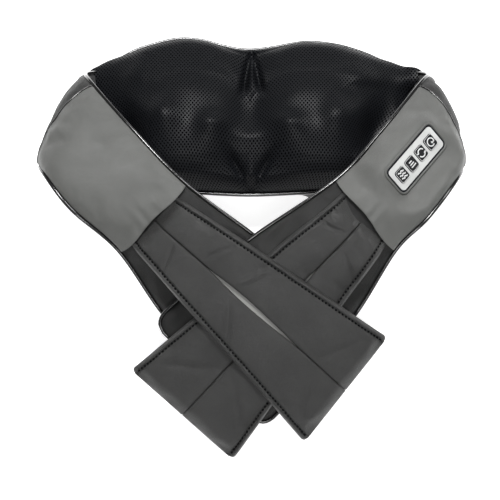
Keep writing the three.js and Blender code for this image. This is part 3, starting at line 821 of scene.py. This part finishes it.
def from_module(points):
    """Distance outside the control module's outline (negative inside), and height in its frame."""
    origin, long, wide, normal = module_frame()
    local = points - origin
    over_long = np.abs(local @ long) - (MODULE_SIZE[0] / 2 - MODULE_CORNER)
    over_wide = np.abs(local @ wide) - (MODULE_SIZE[1] / 2 - MODULE_CORNER)
    beyond = np.hypot(np.maximum(over_long, 0), np.maximum(over_wide, 0))
    away = beyond + np.minimum(np.maximum(over_long, over_wide), 0) - MODULE_CORNER
    return away, local @ normal


def bed_module(points, inside, outside):
    """Draws a skin of the arm to the control module, and lets it in under the module's border."""
    away, height = from_module(points)
    near = 1 - smooth(away / 22)
    level = np.where(away < -1.0, inside, outside)
    normal = module_frame()[3]
    return points + normal * ((level - height) * near)[..., None]


def open_module(points, faces):
    """Leaves out the faces that would lie under the module."""
    away = from_module(points)[0].ravel()
    return [face for face in faces if max(away[k] for k in face) > -2.6]


def module_lip():
    """The rolled edge of the grey panel round the control module."""
    origin, long, wide, normal = module_frame()
    outline = np.array(rounded_square(MODULE_SIZE[0] + 0.4, MODULE_SIZE[1] + 0.4, MODULE_CORNER))
    outline = np.vstack([outline, outline[1]])
    path = [origin + long * a + wide * b + normal * 0.15 for a, b in outline]
    obj = tube("module_lip", resample(path, 1.5), 1.3, MATERIAL["grey_panel"])
    return finish_piece(obj, "arm_right")


def arm_panel(tag):
    """The grey panel over the fold of an arm, down to the root of its strap."""
    cols = np.linspace(0.004, 0.996, 76)
    share = np.linspace(0, 1, 80)
    share, t = np.meshgrid(share, cols, indexing="ij")
    top = PANEL_TOP - PANEL_SLANT * t
    end = PANEL_END + 0.03 * crown(t) + 0.015 * np.sin(t * 9)
    s = top + (end - top) * share
    lift = arm_half(s) * crown(t)
    wrinkle = arm_wrinkle(tag, 1, s, t)
    at_hem = smooth((share - PANEL_HEM) / (1 - PANEL_HEM))
    folds = 0.9 * np.sin(t * 31 + 2 * np.sin(t * 11)) * at_hem * crown(t)
    hem = 3.8 * at_hem * crown(t) ** 0.25
    points = ARM[tag].at(s, t, lift + wrinkle + 1.15 + 0.5 * folds + hem)
    faces = grid_faces(*points.shape[:2])
    if tag == "right":
        points = bed_module(points, *PANEL_BED)
        faces = open_module(points, faces)
    obj = make_object(f"arm_panel_skin_{tag}", points.reshape(-1, 3), faces, arc_uv(points),
                      MATERIAL["grey_panel"])
    face_out(obj, points, ARM[tag].at(s, t, 0 * s))
    add_wall(obj, PANEL_WALL, PANEL_ROUNDING)
    return finish_piece(obj, nodes=[f"arm_panel_{tag}"], bend=BEND[tag])


def panel_seam(tag):
    """The narrow cord sewn into the panel's upper seam."""
    t = np.linspace(0.01, 0.99, 60)
    s = PANEL_TOP - 0.02 - PANEL_SLANT * t
    height = arm_half(s) * crown(t) + arm_wrinkle(tag, 1, s, t) + 0.9
    path = resample(ARM[tag].at(s, t, height), 2.5)
    obj = tube(f"panel_seam_{tag}", path, 0.9, MATERIAL["piping"], 8)
    return finish_piece(obj, bend=BEND[tag])


def arm_welt(tag):
    """The glossy welt: along the inner rim, round the tip, and back along the outer rim."""
    s_in = np.linspace(0.75, TIP, 150)
    draw = arm_edge(tag, s_in)
    inner = ARM[tag].at(s_in, draw - 0.012, 0 * s_in)
    corner = arm_edge(tag, np.array([TIP]))[0]
    t_tip = np.linspace(corner, 1 - corner, 30)
    tip = ARM[tag].at(np.full_like(t_tip, TIP), t_tip, 0 * t_tip)
    outer = ARM[tag].at(s_in[::-1], 1 - draw[::-1] + 0.012, 0 * s_in)
    path = resample(np.vstack([inner, tip[1:-1], outer]), 3.0)
    obj = tube(f"arm_welt_{tag}", path, WELT_R, MATERIAL["piping"])
    return finish_piece(obj, nodes=[f"arm_piping_{tag}"], bend=BEND[tag])


ARM_SWELL = {(tag, sign): arm_swell(tag, sign) for tag in SIDES for sign in (1, -1)}
for tag in SIDES:
    arm_skin(tag, f"arm_cover_{tag}", 1, "cover_leather",
             [f"shoulder_bend_{tag}", f"arm_outer_cover_{tag}", f"arm_foam_{tag}"])
    arm_skin(tag, f"arm_lining_{tag}", -1, "arm_lining", [f"arm_inner_cover_{tag}"])
    arm_panel(tag)
    panel_seam(tag)
    arm_welt(tag)


def body_welt(name, first, last, node):
    """The pillow's seam welt, running out to the arms' rims at both ends."""
    loop = catmull(RIM, np.linspace(first, last, 90), closed=True)
    along = np.gradient(loop, axis=0)
    out = unit(np.column_stack([-along[:, 1], along[:, 0]]))
    if np.mean(np.sum(out * (loop - BODY_CENTRE), axis=1)) < 0:
        out = -out
    xy = loop + out * 1.2
    body_part = np.column_stack([xy, rim_height(xy)])
    ends = []
    for tag in ("left", "right"):
        band = ARM[tag]
        s = np.linspace(0.25, 1.2, 10)
        ends.append(catmull(band.inner if first == 0 else band.outer, s))
    if first == 0:
        path = np.vstack([ends[0][::-1], body_part[4:-4], ends[1]])
    else:
        path = np.vstack([ends[1][::-1], body_part[2:-2], ends[0]])
    obj = tube(name, resample(path, 3.0), WELT_R, MATERIAL["piping"])
    return finish_piece(obj, "body", [node])


body_welt("body_welt_upper", *UPPER_WELT, "piping_upper")
body_welt("body_welt_lower", *LOWER_WELT, "piping_lower")


# ---- hand straps ----------------------------------------------------------
STRAP_HALF = 2.4
HEM = 5.4
FOLD_S = 0.2
CORNER_R = 4.0
SLIT = {"left": (1.9, 4.05, 0.027), "right": (1.95, 2.5, 0.009)}
# Creases of the leather: start and end as (station, share across), and height.
CREASES = {
    "left": [((0.95, 0.54), (1.35, 0.98), -0.8), ((1.5, 0.52), (1.25, 0.78), 0.6),
             ((1.75, 0.47), (2.15, 0.05), -0.7), ((2.6, 0.44), (2.9, 0.12), 0.6),
             ((3.2, 0.95), (2.7, 0.6), -0.5), ((4.3, 0.46), (4.7, 0.1), -0.6),
             ((4.4, 0.55), (4.75, 0.9), -0.5)],
    "right": [((0.8, 0.46), (1.2, 0.08), -0.6), ((1.2, 0.55), (1.6, 0.92), -0.5),
              ((4.1, 0.46), (4.6, 0.1), -0.8), ((4.0, 0.55), (4.5, 0.9), -0.7)],
}


def half_slit(tag, s):
    start, stop, most = SLIT[tag]
    x = np.clip((s - start) / (stop - start), 0, 1)
    return -0.001 + (most + 0.001) * np.sin(math.pi * x) ** 1.3


def strap_bend(tag):
    band = STRAP[tag]
    root = band.at(np.array([0.05]), np.array([0.5]), np.array([0.0]))[0] * MM
    on = band.at(np.array([0.6]), np.array([0.5]), np.array([0.0]))[0] * MM
    return (f"arm_{tag}", f"strap_{tag}", tuple(root), tuple(on))


STRAP_GRID = (76, 34)


def strap_swell(tag):
    """Padding of a strap between its sewn hems."""
    rows, cols = STRAP_GRID
    band = STRAP[tag]
    s, t = np.meshgrid(np.linspace(0, band.last, rows), np.linspace(0, 1, cols), indexing="ij")
    held = border(rows, cols)
    return Swell(band.at(s, t, 0 * s), band.normal(s, t), held, 1.2, 0.03, 2.2)


def strap_sway(tag, s, t):
    """Loose hang of a strap off its flat strip: sewn down at the root, free beyond it."""
    mid = STRAP[tag].at(s, t, 0 * s)
    rows, cols = STRAP_GRID
    swell = STRAP_SWELL[tag].at(s / STRAP[tag].last * (rows - 1), t * (cols - 1))
    sway = waves(mid, 46.0, 1.2, 6) + swell
    root = (8.5 + 4.5 * (1 - t) ** 2) * (1 - smooth((s + 0.02) / 0.6))
    for (s0, t0), (s1, t1), height in CREASES[tag]:
        ds, dt = s1 - s0, t1 - t0
        f = np.clip(((s - s0) * ds + (t - t0) * dt) / (ds * ds + dt * dt), 0, 1)
        away = np.hypot((s - s0 - f * ds) * 45, (t - t0 - f * dt) * 80)
        fade = np.sin(math.pi * (0.1 + 0.8 * f))
        sway = sway + 1.6 * height * np.exp(-((away / 2.8) ** 2)) * fade
    return sway * smooth((s + 0.1) / 0.5) - root


def strap_profile(distance_hem, distance_slit, width):
    """Top height of a band: padded, with a rolled hem, a sewn groove and a soft slit edge."""
    edge = np.minimum(distance_hem, distance_slit * 1.05)
    roll = np.sqrt(np.clip(1 - (1 - np.clip(edge / 2.4, 0, 1)) ** 2, 0, 1))
    groove = 1.2 * np.exp(-(((distance_hem - HEM) / 1.0) ** 2))
    bead = 1.3 * np.exp(-(((distance_hem - 2.6) / 1.6) ** 2))
    puff = 1.4 * np.sin(math.pi * np.clip(distance_hem / width, 0, 1)) ** 0.7
    return roll * (STRAP_HALF - 0.4 + bead + puff) - groove * roll


def strap_rows(tag):
    last = STRAP[tag].last
    return np.concatenate([np.linspace(-0.05, last - FOLD_S, 130),
                           last - FOLD_S * np.cos(np.linspace(0.12, math.pi / 2, 12))])


def end_share(tag, s):
    """How far along the soft fold at the strap's end: 0 before it, 1 at its edge."""
    return np.clip((s - (STRAP[tag].last - FOLD_S)) / FOLD_S, 0, 1)


def strap_band(tag, part):
    band = STRAP[tag]
    rows = strap_rows(tag)
    cols = (1 - np.cos(np.linspace(0, math.pi, 48))) / 2
    s, u = np.meshgrid(rows, cols, indexing="ij")
    gap = half_slit(tag, s)
    fold = end_share(tag, s)
    turn = np.clip(fold * 2.4 - 1.4, 0, 1)
    corner = CORNER_R / 90 * (1 - np.sqrt(np.maximum(0, 1 - turn**2)))
    low, high = corner, 0.5 - gap - 0.08 * corner
    share = low + (high - low) * u
    hem = (share - corner) * band.width(s)
    slit = (high - share) * band.width(s)
    t = share if part == "inner" else 1 - share
    top = strap_profile(hem, slit, hem + slit)
    closing = np.sqrt(np.maximum(0.0004, 1 - fold**2))
    sway = strap_sway(tag, s, t) - 2.2 * smooth(fold)
    upper = band.at(s, t, top * closing + sway)
    under = -0.6 * STRAP_HALF * np.minimum(1, top / STRAP_HALF)
    lower = band.at(s, t, under * closing + sway)
    rings = np.concatenate([upper, lower[:, -2:0:-1]], axis=1)
    obj = loft(f"strap_{part}_{tag}", rings, MATERIAL["strap_leather"])
    finish_piece(obj, nodes=[f"strap_band_{part}_{tag}"],
                 bend=strap_bend(tag))


def strap_backing(tag):
    band = STRAP[tag]
    rows = np.linspace(0.0, band.last - 0.22, 90)
    cols = np.linspace(0.03, 0.97, 24)
    s, t = np.meshgrid(rows, cols, indexing="ij")
    sway = strap_sway(tag, s, t)
    upper = band.at(s, t, -1.9 + sway)
    lower = band.at(s, t, -2.9 + sway)
    rings = np.concatenate([upper, lower[:, ::-1]], axis=1)
    obj = loft(f"strap_backing_{tag}", rings, MATERIAL["strap_backing"])
    finish_piece(obj, nodes=[f"strap_lining_{tag}"], bend=strap_bend(tag))


STITCH_PITCH = 3.9
# A stitch's rings: share of the pitch, rise and radius.
STITCH = [(0.05, -0.7, 0.3), (0.12, 0.2, 0.9), (0.35, 0.5, 1.0), (0.58, 0.2, 0.9), (0.65, -0.7, 0.3)]


def stitches(tag):
    """Hem stitches of one strap, sunk into the sewn groove of each hem."""
    band = STRAP[tag]
    vertices, faces = [], []
    s = np.linspace(0.12, band.last - 0.05, 500)
    width = band.width(s)
    for part in ("inner", "outer"):
        t = HEM / width if part == "inner" else 1 - HEM / width
        hem = np.full_like(s, HEM)
        top = strap_profile(hem, width * 0.4, width * 0.5) + strap_sway(tag, s, t)
        line = resample(band.at(s, t, top + 0.25), STITCH_PITCH)
        above = resample(band.at(s, t, top + 1.25), STITCH_PITCH)
        lift = unit(above[:len(line)] - line)
        for a, b, up in zip(line[:-1], line[1:], lift):
            add_stitch(vertices, faces, a, b, up)
    obj = make_object(f"hem_stitches_{tag}", np.array(vertices), faces, None, MATERIAL["thread"])
    strap_bend(tag)
    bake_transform(obj)


def add_stitch(vertices, faces, start, stop, up):
    """One raised thread between two needle holes."""
    along = stop - start
    length = np.linalg.norm(along)
    along = along / length
    side = np.cross(along, up)
    base = len(vertices)
    sides = 6
    for f, rise, r in STITCH:
        centre = start + along * length * f + up * rise
        for k in range(sides):
            a = 2 * math.pi * k / sides
            vertices.append(centre + r * (math.cos(a) * side + math.sin(a) * up))
    for i in range(len(STITCH) - 1):
        for k in range(sides):
            j = (k + 1) % sides
            a = base + i * sides
            faces.append((a + k, a + j, a + sides + j, a + sides + k))
    faces.append(tuple(base + k for k in reversed(range(sides))))
    last = base + (len(STITCH) - 1) * sides
    faces.append(tuple(last + k for k in range(sides)))


STRAP_SWELL = {tag: strap_swell(tag) for tag in SIDES}
for tag in SIDES:
    for part in ("inner", "outer"):
        strap_band(tag, part)
    strap_backing(tag)
    stitches(tag)


# ---- camera, floor and light ----------------------------------------------
def look_at(obj, target):
    direction = Vector(target) - obj.location
    obj.rotation_euler = direction.to_track_quat("-Z", "Y").to_euler()


FLOOR = 40000


def stage():
    scene = bpy.context.scene
    camera = bpy.data.objects.new("camera", bpy.data.cameras.new("camera"))
    scene.collection.objects.link(camera)
    target = Vector((0, -0.0205, 0.06))
    elevation = math.radians(70)
    camera.location = target + 1.25 * Vector((0, -math.cos(elevation), math.sin(elevation)))
    look_at(camera, target)
    camera.data.lens = 90
    camera.data.sensor_width = 36
    scene.camera = camera

    corners = [(x * FLOOR, y * FLOOR, -0.3) for x, y in ((-1, -1), (1, -1), (1, 1), (-1, 1))]
    floor = make_object("floor", np.array(corners, float), [(0, 1, 2, 3)])
    paint = Shader("floor_paint", (0.9, 0.9, 0.9), 0.8, Emission_Strength=0.85)
    paint.set("Emission Color", (1, 1, 1, 1))
    paint.bump(paint.noise(60.0), 0.0001, 0.2)
    floor.data.materials.append(paint.mat)

    world = bpy.data.worlds.new("world")
    scene.world = world
    world.use_nodes = True
    sky = world.node_tree.nodes["Background"]
    sky.inputs["Color"].default_value = (1, 1, 1, 1)
    sky.inputs["Strength"].default_value = 0.16
    scene.view_settings.view_transform = "Standard"

    soft_boxes = [
        ((-0.1, 0.95, 2.15), 0.5, 44),
        ((0.8, 1.0, 1.6), 0.4, 12),
        ((0.1, -1.0, 1.8), 0.6, 13),
    ]
    for place, size, power in soft_boxes:
        lamp = bpy.data.lights.new("soft_box", "AREA")
        lamp.size = size
        lamp.energy = power
        light = bpy.data.objects.new("soft_box", lamp)
        scene.collection.objects.link(light)
        light.location = place
        look_at(light, (0, 0, 0.05))


# ---- control module icons -------------------------------------------------
ICON_R = 4.0
ICON_LINE = 1.1
EDGE_LINE = 0.3
# Length, width and corner radius of the line round each button.
BUTTON_EDGE = (11.7, 12.3, 2.1)


def arc(radius, start, stop, steps=20, centre=(0, 0)):
    a = np.radians(np.linspace(start, stop, steps))
    return [(centre[0] + radius * math.cos(k), centre[1] + radius * math.sin(k)) for k in a]


def rounded_square(w, h, r):
    points = []
    for sx, sy, start in ((1, 1, 0), (-1, 1, 90), (-1, -1, 180), (1, -1, 270)):
        points += arc(r, start, start + 90, 6, (sx * (w / 2 - r), sy * (h / 2 - r)))
    return points + points[:1]


def icon(name, strokes, x, width):
    """Raised printed lines on a button cap, each a flat ribbon in the module's frame."""
    origin, long, wide, normal = module_frame()
    vertices, faces = [], []
    for stroke in strokes:
        p = np.array(stroke, float)
        side = np.gradient(p, axis=0)
        side = unit(np.column_stack([-side[:, 1], side[:, 0]])) * width / 2
        base = len(vertices)
        for a, b in zip(p - side, p + side):
            for q, z in ((a, -0.1), (a, 0.14), (b, 0.14), (b, -0.1)):
                vertices.append(origin + long * (x + q[0]) + wide * q[1] + normal * (BUTTON_TOP + z))
        n = len(p)
        faces += [tuple(base + k for k in f) for f in grid_faces(n, 4, wrap=True)]
        faces.append((base + 3, base + 2, base + 1, base))
        faces.append(tuple(base + 4 * n - 4 + k for k in range(4)))
    obj = make_object(f"icon_{name}", np.array(vertices), faces, None, MATERIAL["icon_white"])
    fix_outward(obj)
    obj.data.polygons.foreach_set("use_smooth", [False] * len(obj.data.polygons))
    finish_piece(obj, f"button_{name.split('.')[0]}")


def icons():
    wave = [((k - 6) * 0.62, 0.8 * math.sin(k / 3 * math.pi)) for k in range(13)]
    strokes = {
        "power": [arc(ICON_R, -19, 298, 30), [(3.8, -1.3), (2.3, -1.2), (0.7, -1.9)],
                  [(0.7, -1.9), (0.6, 0.2)]],
        "direction": [arc(ICON_R, 20, 160), arc(ICON_R, 200, 340),
                      [(-5.2, 2.4), (-3.8, 1.2), (-2.4, 2.2)], [(5.2, -2.4), (3.8, -1.2), (2.4, -2.2)]],
        "speed": [[(-2.5, 2.5), (1.5, 2.5)], [(-2.9, 0), (2.7, 0)], [(-3.2, -2.5), (3.6, -2.5)]],
        "heat": [[(a, b + shift) for a, b in wave] for shift in (-3.1, 0, 3.1)],
    }
    for name, lines in strokes.items():
        icon(name, lines, BUTTON_X[name], ICON_LINE)
        icon(f"{name}.edge", [rounded_square(*BUTTON_EDGE)], BUTTON_X[name], EDGE_LINE)


module_lip()
icons()
stage()
